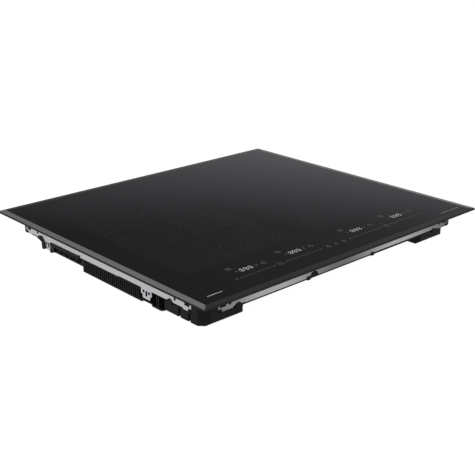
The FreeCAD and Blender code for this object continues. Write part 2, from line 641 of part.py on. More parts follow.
def make_coil(side_name, number):
    x, y = f"{SIDES[side_name]} * zone_x", coil_y(number)
    former = new_body("Former")
    outline = sketch(former, "XY_Plane")
    stadium(outline, "coil_straight", "former_radius")
    for sign in ("-", ""):
        circle(outline, "former_hole", f"{sign}coil_straight / 2")
    pad(former, outline, "former_thick")
    place(former, x, y, "coil_top - coil_thick - former_thick")
    keep(former, f"coil_former_{side_name}_{number + 1}")
    winding = new_body("Winding")
    ring = sketch(winding, "XY_Plane")
    stadium(ring, "coil_straight", "coil_radius")
    stadium(ring, "coil_straight", "coil_bore")
    pad(winding, ring, "coil_thick")
    keep(place(winding, x, y, "coil_top - coil_thick"), f"coil_winding_{side_name}_{number + 1}")


def make_coil_groups():
    sensors = []
    for side_name, side in SIDES.items():
        bars = []
        for number in range(COILS_PER_ZONE):
            make_coil(side_name, number)
            for bar in range(4):
                middle = f"{side} * zone_x + {bar - 1.5} * ferrite_pitch"
                top = "coil_top - coil_thick - former_thick"
                bars.append(block((f"{middle} - ferrite_width / 2", f"{middle} + ferrite_width / 2"),
                                  (f"{coil_y(number)} - ferrite_length / 2",
                                   f"{coil_y(number)} + ferrite_length / 2"),
                                  (f"{top} - ferrite_thick", top)))
            sensors.append(rod((f"{side} * zone_x", coil_y(number)), ("coil_top - coil_thick", "coil_top"),
                               "sensor_radius"))
        keep(group(bars, "Ferrites"), f"ferrite_bars_{side_name}")
        middle = f"{side} * zone_x"
        keep(block((f"{middle} - mica_width / 2", f"{middle} + mica_width / 2"),
                   ("-mica_front", "mica_rear"), ("coil_top", "coil_top + mica_thick"), "Mica"),
             f"mica_sheet_{side_name}")
        make_carrier(side_name, middle)
    keep(group(sensors, "Sensors"), "temperature_sensors")


def make_carrier(side_name, middle):
    """Aluminium plate under four coils, with one lead window beside each coil."""
    body = new_body("Carrier")
    plate = sketch(body, "XY_Plane")
    rectangle(plate, ("-carrier_width / 2", "carrier_width / 2"), ("-carrier_front", "carrier_rear"))
    pad(body, plate, "carrier_thick")
    windows = sketch(body, "XY_Plane", "carrier_thick")
    for number in range(COILS_PER_ZONE):
        rectangle(windows, ("-6", "6"), (f"{coil_y(number)} - 20", f"{coil_y(number)} + 20"))
    pocket(body, windows, "carrier_thick + 1", name="Windows")
    keep(place(body, middle, "0", "carrier_level"), f"coil_carrier_{side_name}")


# ---- power electronics and cooling

def make_power_module(side_name):
    side = SIDES[side_name]
    board_top = "board_level + board_thick"
    x = span(side, "module_near", "module_far")
    keep(block(x, ("-module_front", "module_rear"), ("board_level", board_top), "PowerBoard"),
         f"power_board_{side_name}")
    devices = []
    for number in range(4):
        low = f"module_near + {10 + 25 * number}"
        for row in (-70, 5):
            devices.append(block(span(side, low, f"{low} + 16"), (f"{row}", f"{row} + 20"),
                                 (board_top, f"{board_top} + device_height")))
    keep(group(devices, "Devices"), f"power_transistors_{side_name}")
    capacitors = []
    for number in range(3):
        low = f"module_near + {12 + 31 * number}"
        capacitors.append(block(span(side, low, f"{low} + 26"), ("-130", "-115"), (board_top, "27")))
    keep(group(capacitors, "Capacitors"), f"resonant_capacitors_{side_name}")
    make_heat_sink(side_name)


def make_heat_sink(side_name):
    """Aluminium extrusion on the power devices, with its fins along X towards the side outlet."""
    body = new_body("HeatSink")
    base = sketch(body, "XY_Plane")
    rectangle(base, ("module_near + 2", "module_far - 2"), ("-sink_front", "module_rear - 6"))
    pad(body, base, "sink_base")
    fin = sketch(body, "XY_Plane", "sink_base")
    rectangle(fin, ("module_near + 2", "module_far - 2"), ("-sink_front", "-sink_front + fin_thick"))
    level = "board_level + board_thick + device_height"
    rib = pad(body, fin, f"fin_top - ({level}) - sink_base", name="Fin")
    doc.recompute()
    depth = SIZES["sink_front"] + SIZES["module_rear"] - 6
    fins = int((depth - SIZES["fin_thick"]) / SIZES["fin_pitch"]) + 1
    row = body.newObject("PartDesign::LinearPattern", "Fins")
    row.Originals = [rib]
    row.Direction = (fin, ["V_Axis"])
    row.setExpression("Length", sized(f"fin_pitch * {fins - 1}"))
    row.Occurrences = fins
    body.Tip = row
    if SIDES[side_name] < 0:
        place(body, "-(module_near + module_far)", "0", level)
    else:
        place(body, "0", "0", level)
    keep(body, f"heat_sink_{side_name}")


def make_fan(side_name):
    side = SIDES[side_name]
    x, y = f"{side} * fan_x", "-fan_y"
    square = ((f"{x} - fan_half", f"{x} + fan_half"), (f"{y} - fan_half", f"{y} + fan_half"))
    case = block(*square, ("fan_low", "fan_high"), "FanCase")
    scroll = rod((x, y), ("fan_low + fan_cover", "fan_high - fan_cover"), "scroll_radius")
    inlet = rod((x, y), ("fan_low - 1", "fan_low + 3"), "inlet_radius")
    near, far = ("10", "fan_half + 1")
    mouth_x = span(side, near, far)
    mouth = block((f"{x} + {mouth_x[0]}", f"{x} + {mouth_x[1]}"), (f"{y} - 40", f"{y} + 40"),
                  ("fan_low + fan_cover", "fan_high - fan_cover"))
    keep(cut(case, [scroll, inlet, mouth], "Blower"), f"fan_housing_{side_name}")
    top = "fan_high - fan_cover"
    stator = rod((x, y), ("stator_low", top), "stator_radius")
    shaft = rod((x, y), ("shaft_low", top), "shaft_radius")
    keep(fuse([stator, shaft], "Motor"), f"fan_motor_{side_name}")
    make_rotor(side_name, x, y)


def make_rotor(side_name, x, y):
    """Impeller: a cup over the stator, a back plate and a ring of blades below it."""
    body = new_body("Rotor")
    plate = sketch(body, "XY_Plane", "plate_low")
    circle(plate, "rotor_radius")
    circle(plate, "shaft_bore")
    pad(body, plate, "plate_thick", name="BackPlate")
    cup = sketch(body, "XY_Plane", "plate_low + plate_thick - 0.2")
    circle(cup, "cup_radius")
    circle(cup, "cup_radius - cup_wall")
    pad(body, cup, "cup_top - plate_low - plate_thick + 0.2", name="Cup")
    hub = sketch(body, "XY_Plane", "blade_low + 3.5")
    circle(hub, "4.5")
    circle(hub, "shaft_bore")
    pad(body, hub, "plate_low - blade_low - 3.3", name="Hub")
    blade = sketch(body, "XY_Plane", "blade_low")
    polygon(blade, [("blade_inner", "-1"), ("rotor_radius - 0.6", "5"), ("rotor_radius - 1", "6.2"),
                    ("blade_inner - 0.2", "0.2")])
    vane = pad(body, blade, "plate_low - blade_low + 0.3", name="Blade")
    doc.recompute()
    blades = body.newObject("PartDesign::PolarPattern", "Blades")
    blades.Originals = [vane]
    blades.Axis = (blade, ["N_Axis"])
    blades.Angle = 360
    blades.Occurrences = FAN_BLADES
    body.Tip = blades
    keep(place(body, x, y), f"fan_rotor_{side_name}")


# ---- mains connection

def make_mains():
    top = "board_level + board_thick"
    keep(block(("-filter_half", "filter_half"), ("filter_front", "filter_rear"), ("board_level", top),
               "FilterBoard"), "filter_board")
    chokes = []
    for x in ("-40", "40"):
        ring = doc.addObject("Part::Torus", "Choke")
        ring.Radius1, ring.Radius2 = 12, 5.5
        chokes.append(place(ring, x, "filter_front + 24", f"{top} + 5.6"))
    keep(group(chokes, "Chokes"), "filter_chokes")
    blocks = []
    for x in ("-88", "-14", "64"):
        blocks.append(block((x, f"{x} + 26"), ("filter_rear - 24", "filter_rear - 10"), (top, "28")))
    keep(group(blocks, "FilterCapacitors"), "filter_capacitors")
    floor = "shelf_floor + floor_thick"
    across = ("-terminal_half", "terminal_half")
    base = fuse([block(across, ("terminal_y - 9", "terminal_rear"), ("terminal_low", "terminal_high")),
                 block(across, ("terminal_rear - 7", "terminal_rear"), (floor, "terminal_low + 1"))])
    ways, screws = [], []
    for number in range(5):
        x = f"{9 * (number - 2)}"
        ways.append(rod((x, "terminal_y"), ("terminal_low - 1", "terminal_low + 8"), "3"))
        screws.append(rod((x, "terminal_y"), ("terminal_low + 5", "terminal_low + 8"), "2.6"))
    keep(cut(base, ways, "Terminals"), "terminal_block")
    keep(group(screws, "TerminalScrews"), "terminal_screws")
    make_lid()
    bush = fuse([rod(("inlet_x", "inlet_y"), (f"{floor}", f"{floor} + 2"), "grommet_flange"),
                 rod(("inlet_x", "inlet_y"), ("shelf_floor", floor), "grommet_neck"),
                 rod(("inlet_x", "inlet_y"), ("shelf_floor - 2", "shelf_floor"), "grommet_flange")])
    bore = rod(("inlet_x", "inlet_y"), ("shelf_floor - 4", f"{floor} + 4"), "grommet_bore")
    keep(cut(bush, [bore], "Grommet"), "cable_grommet")


def make_lid():
    """Flap under the terminal block, which swings down about a steel pin at its rear edge."""
    top = "shelf_floor - lid_gap"
    plate = block(("-hatch_half - hatch_overlap", "hatch_half + hatch_overlap"),
                  ("terminal_y - hatch_depth - hatch_overlap", "hinge_y - 5"), (f"{top} - lid_thick", top))
    across = ("4 - hatch_half", "hatch_half - 4")
    web = block(across, ("hinge_y - 5.5", "hinge_y"), (f"{top} - lid_thick", "hinge_z + 0.9"))
    barrel = rod(("hinge_y", "hinge_z"), across, "barrel_radius", "x")
    bore = rod(("hinge_y", "hinge_z"), ("-hatch_half", "hatch_half"), "pin_bore", "x")
    keep(cut(fuse([plate, web, barrel]), [bore], "Lid"), "terminal_lid")
    keep(rod(("hinge_y", "hinge_z"), ("-hatch_half - 3", "hatch_half + 3"), "pin_radius", "x", "LidPin"),
         "terminal_lid_pin")


# ---- touch control

def make_control():
    board_top = "control_level + board_thick"
    keep(block(("-control_half", "control_half"), ("-control_front", "-control_rear"),
               ("control_level", board_top), "TouchBoard"), "touch_board")
    digits, springs = [], []
    for x in ("-slider_outer", "-slider_inner", "slider_inner", "slider_outer"):
        digits.append(block((f"{x} - digit_width / 2", f"{x} + digit_width / 2"),
                            ("-digit_row - digit_depth / 2", "-digit_row + digit_depth / 2"),
                            (board_top, f"{board_top} + digit_height")))
        for step in range(5):
            springs.append(rod((f"{x} + {14 * (step - 2)}", "-slider_row"), (board_top, "underside"),
                               "spring_radius"))
    for x in ("-117", "-17", "0", "16", "117"):
        springs.append(rod((x, "-slider_row"), (board_top, "underside"), "spring_radius"))
    keep(group(digits, "Digits"), "digit_displays")
    keep(group(springs, "TouchSprings"), "touch_springs")
    floor = "shelf_floor + floor_thick"
    outer = block(("-control_half - 2", "control_half + 2"), ("-control_front - 1", "-control_rear + 2"),
                  (floor, "control_level"))
    cells = []
    for number in range(6):
        low = f"-control_half + {number} * control_half / 3"
        cells.append(block((f"{low} + 1", f"{low} + control_half / 3 - 1"),
                           ("-control_front + 1", "-control_rear"), (f"{floor} - 1", "control_level + 1")))
    keep(cut(outer, cells, "Holder"), "control_holder")


# ---- fasteners

def make_screws():
    """Pan-head screws that hold the boards to the tray, as one group of separate solids."""
    screws = []
    top = "board_level + board_thick"
    places = []
    for side in SIDES.values():
        for x in ("module_near + 4", "module_far - 4"):
            places.append((f"{side} * ({x})", "-module_front + 4"))
        places.append((f"{side} * (filter_half - 5)", "filter_front + 5"))
        places.append((f"{side} * (filter_half - 5)", "filter_rear - 5"))
    for x, y in places:
        screws.append(rod((x, y), (top, f"{top} + 2.2"), "3"))
    keep(group(screws, "BoardScrews"), "board_screws")


def check_and_export():
    doc.recompute()
    for thing in doc.Objects:
        if {"Invalid", "Error"} & set(thing.State):
            raise RuntimeError(f"{thing.Name} ({thing.Label}) did not compute: {thing.State}")
    os.makedirs("parts", exist_ok=True)
    for node in nodes:
        if node.Shape.isNull() or not node.Shape.isValid():
            raise RuntimeError(f"{node.Label} has no valid shape")
        if not node.Shape.Solids:
            raise RuntimeError(f"{node.Label} holds no solid")
    for node in nodes:
        node.Shape.exportStep(f"parts/{node.Label}.step")
        box = node.Shape.BoundBox
        print(f"{node.Label:28s} {len(node.Shape.Solids):3d} solids"
              f"  x {box.XMin:7.1f} {box.XMax:7.1f}  y {box.YMin:7.1f} {box.YMax:7.1f}"
              f"  z {box.ZMin:6.2f} {box.ZMax:6.2f}")


def main():
    make_sheet()
    make_glass()
    make_seal_and_bead()
    make_rails()
    make_tray()
    make_coil_groups()
    for side_name in SIDES:
        make_power_module(side_name)
        make_fan(side_name)
    make_mains()
    make_control()
    make_screws()
    check_and_export()


main()
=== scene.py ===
import json
import math

import bmesh
import bpy
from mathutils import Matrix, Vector


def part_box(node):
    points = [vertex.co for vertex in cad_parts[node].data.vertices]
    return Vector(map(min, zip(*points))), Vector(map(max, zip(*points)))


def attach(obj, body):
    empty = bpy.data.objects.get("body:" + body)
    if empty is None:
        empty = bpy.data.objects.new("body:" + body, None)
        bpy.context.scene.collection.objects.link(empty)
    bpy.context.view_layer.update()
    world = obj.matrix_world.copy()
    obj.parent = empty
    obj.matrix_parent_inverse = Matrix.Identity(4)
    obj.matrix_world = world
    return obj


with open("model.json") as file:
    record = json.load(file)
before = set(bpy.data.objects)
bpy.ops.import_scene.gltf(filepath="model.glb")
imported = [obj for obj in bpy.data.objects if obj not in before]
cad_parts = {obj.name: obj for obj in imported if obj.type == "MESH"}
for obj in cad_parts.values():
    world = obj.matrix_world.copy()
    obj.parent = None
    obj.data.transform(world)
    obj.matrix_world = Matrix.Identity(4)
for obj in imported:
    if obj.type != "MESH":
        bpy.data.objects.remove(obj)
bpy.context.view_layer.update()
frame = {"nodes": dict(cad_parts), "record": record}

nodes = frame["nodes"]
HOB = "hob"

# The glass: everything printed on it is placed from its box.
GLASS_LOW, GLASS_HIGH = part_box("glass_top")
TOP = GLASS_HIGH.z
PRINT_LIFT = 0.00002
PRINT_THICK = 0.00002
BEVEL_WIDTH = 0.0098
BEVEL_BLUR = 0.0003
EDGE_WALL = 0.00325
MM = 0.001
SQUARE = ((-1, -1), (1, -1), (1, 1), (-1, 1))


# ---------------------------------------------------------------- node helpers

class Nodes:
    """A node tree, with a short call for each kind of node that materials and the world share."""

    def __init__(self, tree):
        self.tree = tree

    def node(self, kind, **settings):
        made = self.tree.nodes.new(kind)
        for key, value in settings.items():
            setattr(made, key, value)
        return made

    def feed(self, socket, value):
        if isinstance(value, bpy.types.NodeSocket):
            self.tree.links.new(value, socket)
        else:
            socket.default_value = value

    def math(self, operation, first, second=0.0):
        made = self.node("ShaderNodeMath", operation=operation)
        self.feed(made.inputs[0], first)
        self.feed(made.inputs[1], second)
        return made.outputs[0]

    def blend(self, *shares):
        """The sum of some values, each times its share."""
        total = 0.0
        for value, share in shares:
            total = self.math("ADD", total, self.math("MULTIPLY", value, share))
        return total

    def remap(self, value, low, high, new_low, new_high):
        made = self.node("ShaderNodeMapRange")
        self.feed(made.inputs["Value"], value)
        for key, number in (("From Min", low), ("From Max", high), ("To Min", new_low), ("To Max", new_high)):
            made.inputs[key].default_value = number
        return made.outputs["Result"]

    def ramp(self, value, stops):
        made = self.node("ShaderNodeValToRGB")
        self.feed(made.inputs["Fac"], value)
        elements = made.color_ramp.elements
        while len(elements) < len(stops):
            elements.new(0.5)
        for element, (where, colour) in zip(elements, stops):
            element.position = where
            element.color = (*colour, 1.0)
        return made.outputs["Color"]

    def split(self, vector):
        made = self.node("ShaderNodeSeparateXYZ")
        self.feed(made.inputs[0], vector)
        return made.outputs


class Shader(Nodes):
    """A material's tree round its Principled shader, placed by object coordinates."""

    NOISE_LOW, NOISE_HIGH = 0.3, 0.7

    def __init__(self, name):
        self.material = bpy.data.materials.new(name)
        self.material.use_nodes = True
        super().__init__(self.material.node_tree)
        self.bsdf = self.tree.nodes["Principled BSDF"]
        self.place = self.node("ShaderNodeTexCoord").outputs["Object"]

    def set(self, **values):
        """Sockets of the Principled shader, by name with underscores for spaces."""
        for key, value in values.items():
            self.feed(self.bsdf.inputs[key.replace("_", " ")], value)

    def noise(self, scale, detail=2.0, roughness=0.5, place=None):
        made = self.node("ShaderNodeTexNoise")
        self.feed(made.inputs["Vector"], place or self.place)
        self.feed(made.inputs["Scale"], scale)
        self.feed(made.inputs["Detail"], detail)
        self.feed(made.inputs["Roughness"], roughness)
        return made.outputs["Fac"]

    def spread(self, noise, low=0.0, high=1.0):
        """A noise with the range it mostly keeps to stretched over low to high."""
        return self.remap(noise, self.NOISE_LOW, self.NOISE_HIGH, low, high)

    def cells(self, scale, feature="F1", output="Distance"):
        made = self.node("ShaderNodeTexVoronoi", feature=feature)
        self.feed(made.inputs["Vector"], self.place)
        self.feed(made.inputs["Scale"], scale)
        return made.outputs[output]

    def stretch(self, x, y, z):
        made = self.node("ShaderNodeMapping")
        self.feed(made.inputs["Vector"], self.place)
        made.inputs["Scale"].default_value = (x, y, z)
        return made.outputs["Vector"]

    def mix(self, factor, first, second):
        made = self.node("ShaderNodeMix", data_type="RGBA")
        self.feed(made.inputs["Factor"], factor)
        for socket, value in ((made.inputs[6], first), (made.inputs[7], second)):
            self.feed(socket, value if isinstance(value, bpy.types.NodeSocket) else (*value, 1.0))
        return made.outputs[2]

    def bump(self, height, strength, distance):
        made = self.node("ShaderNodeBump")
        self.feed(made.inputs["Height"], height)
        made.inputs["Strength"].default_value = strength
        made.inputs["Distance"].default_value = distance
        self.set(Normal=made.outputs["Normal"])


# ---------------------------------------------------------------- materials

def black_glass():
    """Glass-ceramic: near black and polished, with a rougher ground bevel whose colour is a painted
    reflection: a little paler along the front, much paler along the sides.
    """
    s = Shader("black_glass")
    x, y, z = s.split(s.place)
    flat_x, flat_y = GLASS_HIGH.x - BEVEL_WIDTH, GLASS_HIGH.y - BEVEL_WIDTH
    left = s.remap(x, -flat_x + BEVEL_BLUR, -flat_x - BEVEL_BLUR, 0.0, 1.0)
    right = s.remap(x, flat_x - BEVEL_BLUR, flat_x + BEVEL_BLUR, 0.0, 1.0)
    front = s.remap(y, -flat_y + BEVEL_BLUR, -flat_y - BEVEL_BLUR, 0.0, 1.0)
    above_wall = s.math("GREATER_THAN", z, GLASS_LOW.z + EDGE_WALL)
    # the mitred corners: the front facet gives way to a side facet where the side is nearer
    from_side = s.math("SUBTRACT", GLASS_HIGH.x, s.math("ABSOLUTE", x))
    from_front = s.math("ADD", GLASS_HIGH.y, y)
    front = s.math("MULTIPLY", front, s.math("GREATER_THAN", from_side, from_front))
    side = s.math("MULTIPLY", s.math("MAXIMUM", left, right), s.math("SUBTRACT", 1.0, front))
    side = s.math("MULTIPLY", side, above_wall)
    smear = s.noise(9.0, detail=4.0, roughness=0.6)
    colour_with_painted_reflection = s.mix(s.spread(smear), (0.0018, 0.0019, 0.0021), (0.0026, 0.0027, 0.0030))
    # painted reflection: the front bevel is painted a little paler than the flat glass, standing in for the
    # studio seen in the ground facet
    colour_with_painted_reflection = s.mix(s.math("MULTIPLY", front, above_wall), colour_with_painted_reflection, (0.018, 0.019, 0.018))
    # painted reflection: both side bevels are painted much paler, standing in for the bright studio seen in
    # the ground facets
    colour_with_painted_reflection = s.mix(side, colour_with_painted_reflection, (0.158, 0.164, 0.160))
    matt = s.math("MULTIPLY", s.math("MAXIMUM", side, front), 0.25)
    s.set(Base_Color=colour_with_painted_reflection, Roughness=s.math("ADD", s.spread(smear, 0.035, 0.06), matt))
    s.set(IOR=1.5, Specular_IOR_Level=0.35)
    s.bump(s.noise(3.2), 0.05, 0.002)
    return s.material


def printed(name, colour, glow=0.0):
    """Fired ceramic print, slightly uneven like screen print, or a lit legend behind the glass."""
    s = Shader(name)
    grain = s.noise(2600.0)
    dark = tuple(channel * 0.86 for channel in colour)
    s.set(Base_Color=s.mix(s.spread(grain), dark, colour), Roughness=s.spread(grain, 0.3, 0.4))
    if glow:
        s.set(Emission_Color=(*colour, 1.0), Emission_Strength=glow)
    s.bump(grain, 0.2, 0.00002)
    return s.material


# the front and rear steel sheets, beyond this distance from the middle, get broad bands of painted shade
# along X, standing in for the studio's uneven reflection
END_SHEET_Y = 0.22
BAND_SHIFT = 0.150
BAND_LENGTH = 0.270


def zinc_steel():
    """Hot-dip galvanised sheet: soft spangle, faint rolling lines, and broad bands of painted shade on the
    end sheets.
    """
    s = Shader("zinc_steel")
    x, y, _ = s.split(s.place)
    grey = s.node("ShaderNodeRGBToBW")
    s.feed(grey.inputs[0], s.cells(140.0, output="Color"))
    spangle = grey.outputs[0]
    rolled = s.noise(60.0, detail=3.0, roughness=0.6, place=s.stretch(1.0, 1.0, 22.0))
    mottled = s.noise(26.0, detail=4.0, roughness=0.6)
    tone = s.blend((spangle, 0.25), (rolled, 0.35), (mottled, 0.4))
    sheet = s.ramp(tone, [(0.25, (0.40, 0.405, 0.415)), (0.75, (0.52, 0.525, 0.54))])
    turns = s.math("MULTIPLY", s.math("ADD", x, BAND_SHIFT), 2 * math.pi / BAND_LENGTH)
    on_ends = s.math("GREATER_THAN", s.math("ABSOLUTE", y), END_SHEET_Y)
    # painted shade: a cosine along X darkens the front and rear sheets in broad bands, in place of the
    # reflection the studio would give
    painted_shade_bands = s.math("MULTIPLY", s.remap(s.math("COSINE", turns), -1.0, 1.0, 0.75, 0.2), on_ends)
    s.set(Base_Color=s.mix(painted_shade_bands, sheet, (0.02, 0.021, 0.023)))
    s.set(Roughness=s.spread(tone, 0.34, 0.5), Metallic=0.85)
    s.bump(s.blend((rolled, 1.0), (spangle, 0.5)), 0.12, 0.0004)
    return s.material


def moulded_plastic(name, dark, light, grain_scale=1500.0, roughness=0.55, grain=0.18, shine=0.5):
    """Injection-moulded plastic: spark-eroded grain, and flow marks that shift its colour and gloss."""
    s = Shader(name)
    fine = s.noise(grain_scale, detail=3.0, roughness=0.6)
    flow = s.noise(18.0, detail=3.0, roughness=0.55)
    s.set(Base_Color=s.mix(s.spread(flow), dark, light))
    worn = s.blend((fine, 0.5), (flow, 0.5))
    s.set(Roughness=s.remap(worn, 0.35, 0.65, roughness - 0.09, roughness + 0.09))
    s.set(Specular_IOR_Level=shine)
    s.bump(fine, grain, 0.0003)
    return s.material


def rubber(name, dark, light, pore_scale):
    """Dull rubber or foam with fine pores."""
    s = Shader(name)
    cloud = s.noise(60.0, detail=3.0)
    s.set(Base_Color=s.mix(s.spread(cloud), dark, light), Roughness=s.spread(cloud, 0.7, 0.85))
    s.bump(s.cells(pore_scale), 0.35, 0.0004)
    return s.material


def metal(name, dark, light, roughness, stretch=(1.0, 1.0, 1.0)):
    """Bare metal, with drawn or rolled lines where the noise is stretched."""
    s = Shader(name)
    lines = s.noise(80.0, detail=4.0, roughness=0.65, place=s.stretch(*stretch))
    tone = s.blend((lines, 0.6), (s.noise(14.0, detail=3.0), 0.4))
    s.set(Base_Color=s.mix(s.spread(tone), dark, light), Metallic=1.0)
    s.set(Roughness=s.spread(tone, roughness - 0.07, roughness + 0.07))
    s.bump(lines, 0.12, 0.0003)
    return s.material


def circuit_board():
    """Green solder mask over a net of slightly raised, paler tracks."""
    s = Shader("circuit_board")
    track = s.remap(s.cells(240.0, feature="DISTANCE_TO_EDGE"), 0.02, 0.05, 1.0, 0.0)
    s.set(Base_Color=s.mix(track, (0.012, 0.085, 0.04), (0.03, 0.16, 0.07)))
    s.set(Roughness=s.spread(s.noise(300.0), 0.25, 0.4))
    s.bump(track, 0.3, 0.0001)
    return s.material


def litz_copper():
    """Enamelled stranded copper: a fine grain drawn out along X."""
    s = Shader("litz_copper")
    strand = s.noise(900.0, detail=3.0, roughness=0.7, place=s.stretch(0.25, 1.0, 1.0))
    s.set(Base_Color=s.mix(s.spread(strand), (0.32, 0.11, 0.04), (0.62, 0.27, 0.11)))
    s.set(Metallic=0.9, Roughness=s.spread(strand, 0.28, 0.5))
    s.bump(strand, 0.5, 0.0005)
    return s.material


# slot: darker tone, lighter tone, and what differs from the plain plastic
PLASTICS = {
    "black_plastic": ((0.0038, 0.0038, 0.0040), (0.0064, 0.0064, 0.0068), {"shine": 0.08}),
    "black_plastic_lid": ((0.005, 0.005, 0.0053), (0.008, 0.008, 0.0085),
                          {"grain_scale": 1100.0, "roughness": 0.5, "shine": 0.1}),
    "fan_plastic": ((0.045, 0.045, 0.048), (0.06, 0.06, 0.064), {"roughness": 0.42, "grain": 0.08}),
    "former_plastic": ((0.62, 0.6, 0.54), (0.72, 0.7, 0.64), {"roughness": 0.5, "grain": 0.1}),
    "semiconductor": ((0.02, 0.02, 0.02), (0.03, 0.03, 0.03), {"roughness": 0.45}),
    "capacitor": ((0.03, 0.07, 0.3), (0.05, 0.1, 0.38), {"roughness": 0.3, "grain": 0.06}),
    "display": ((0.3, 0.03, 0.02), (0.45, 0.06, 0.04), {"roughness": 0.3, "grain": 0.05}),
    "ferrite": ((0.05, 0.05, 0.055), (0.08, 0.08, 0.085), {"roughness": 0.75, "grain": 0.4}),
    "mica": ((0.42, 0.38, 0.28), (0.56, 0.52, 0.4), {"roughness": 0.35, "grain": 0.15}),
    "sensor": ((0.6, 0.58, 0.52), (0.72, 0.7, 0.63), {"roughness": 0.6}),
}
# slot: darker tone, lighter tone, scale of the pores
RUBBERS = {
    "foam_seal": ((0.018, 0.018, 0.018), (0.03, 0.03, 0.03), 1400.0),
    "silicone": ((0.06, 0.06, 0.06), (0.09, 0.09, 0.09), 300.0),
    "grommet_rubber": ((0.02, 0.02, 0.02), (0.035, 0.035, 0.035), 900.0),
}
MATERIALS = {
    "black_glass": black_glass(),
    "zinc_steel": zinc_steel(),
    **{slot: moulded_plastic(slot, dark, light, **other) for slot, (dark, light, other) in PLASTICS.items()},
    **{slot: rubber(slot, dark, light, pores) for slot, (dark, light, pores) in RUBBERS.items()},
    "screw_steel": metal("screw_steel", (0.5, 0.5, 0.52), (0.68, 0.68, 0.7), 0.32),
    "aluminium": metal("aluminium", (0.66, 0.67, 0.69), (0.8, 0.81, 0.83), 0.36, (1.0, 24.0, 24.0)),
    "circuit_board": circuit_board(),
    "copper": litz_copper(),
}


def dress_cad_nodes():
    """Give each CAD node the material of its slot."""
    for part in frame["record"]["subparts"]:
        mesh = nodes[part["node"]].data
        mesh.materials.clear()
        mesh.materials.append(MATERIALS[part["material_slot"]])


# ---------------------------------------------------------------- making pieces

def finished(name, maker, material, body=HOB):
    """Turn a bmesh into a piece that rides on a body."""
    mesh = bpy.data.meshes.new(name)
    maker.normal_update()
    maker.to_mesh(mesh)
    maker.free()
    mesh.materials.append(material)
    piece = bpy.data.objects.new(name, mesh)
    bpy.context.scene.collection.objects.link(piece)
    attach(piece, body)
    return piece


def bridge(maker, first, second):
    """Faces all round between two rings of corners."""
    for k in range(len(first)):
        after = (k + 1) % len(first)
        maker.faces.new((first[k], first[after], second[after], second[k]))


class Print:
    """Thin closed films on the glass, in millimetres from its centre, gathered into one piece."""

    DISC_SIDES = 16

    def __init__(self, lift=PRINT_LIFT):
        self.maker = bmesh.new()
        self.level = TOP + lift

    def polygon(self, points):
        """A film of ink with its outline given anticlockwise, closed all round."""
        low, high = ([self.maker.verts.new((x * MM, y * MM, z)) for x, y in points]
                     for z in (self.level, self.level + PRINT_THICK))
        self.maker.faces.new(high)
        self.maker.faces.new(reversed(low))
        bridge(self.maker, low, high)

    def line(self, start, end, width):
        (x0, y0), (x1, y1) = start, end
        length = math.hypot(x1 - x0, y1 - y0)
        nx, ny = -(y1 - y0) / length * width / 2, (x1 - x0) / length * width / 2
        self.polygon([(x0 - nx, y0 - ny), (x1 - nx, y1 - ny), (x1 + nx, y1 + ny), (x0 + nx, y0 + ny)])

    def disc(self, x, y, radius):
        angles = [2 * math.pi * k / self.DISC_SIDES for k in range(self.DISC_SIDES)]
        self.polygon([(x + radius * math.cos(a), y + radius * math.sin(a)) for a in angles])

    def arc(self, x, y, radius, width, start=0.0, stop=360.0, steps=24):
        """A ring or part of one, between two angles in degrees."""
        inner, outer = radius - width / 2, radius + width / 2
        angles = [math.radians(start + (stop - start) * k / steps) for k in range(steps + 1)]
        for a, b in zip(angles, angles[1:]):
            self.polygon([(x + inner * math.cos(a), y + inner * math.sin(a)),
                          (x + outer * math.cos(a), y + outer * math.sin(a)),
                          (x + outer * math.cos(b), y + outer * math.sin(b)),
                          (x + inner * math.cos(b), y + inner * math.sin(b))])

    def rectangle(self, x, y, width, depth, line):
        """A hollow rectangle centred on (x, y)."""
        w, d = width / 2, depth / 2
        self.line((x - w, y - d), (x + w, y - d), line)
        self.line((x - w, y + d), (x + w, y + d), line)
        self.line((x - w, y - d), (x - w, y + d), line)
        self.line((x + w, y - d), (x + w, y + d), line)

    def finish(self, name, material):
        return finished(name, self.maker, material)


# ---------------------------------------------------------------- cooking zones, in millimetres

ZONE_X = 135.5
ZONE_HALF = 107.0
ZONE_FRONT = -156.0
ZONE_REAR = 225.3
ZONE_ROWS = 4
ROW_DEPTH = (ZONE_REAR - ZONE_FRONT) / ZONE_ROWS
DOT_PITCH = 3.7
DOT_SIZE = 0.85
ROW_GAP = 2.6
CENTRE_GAP = 2.4
END_MARGIN = 4.0
MARK_REACH = 2.4
MARK_SPLIT = 0.6
MARK_LINE = 1.1


def zone_print(name, side, material):
    """A flexible cooking zone: fine dot field in four rows, split by plain cross and centre lines."""
    sheet = Print()
    columns = int(2 * ZONE_HALF / DOT_PITCH)
    rows = int((ZONE_REAR - ZONE_FRONT) / DOT_PITCH)
    h = DOT_SIZE / 2
    for row in range(rows + 1):
        y = ZONE_FRONT + row * (ZONE_REAR - ZONE_FRONT) / rows
        rows_back = (y - ZONE_FRONT) / ROW_DEPTH
        from_line = abs(rows_back - round(rows_back)) * ROW_DEPTH
        inside = ZONE_FRONT + END_MARGIN < y < ZONE_REAR - END_MARGIN
        if inside and from_line < ROW_GAP:
            continue
        for column in range(columns + 1):
            from_centre = -ZONE_HALF + column * 2 * ZONE_HALF / columns
            if abs(from_centre) < CENTRE_GAP:
                continue
            x = side * ZONE_X + from_centre
            sheet.polygon([(x + along * h, y + across * h) for along, across in SQUARE])
    return sheet.finish(name, material)


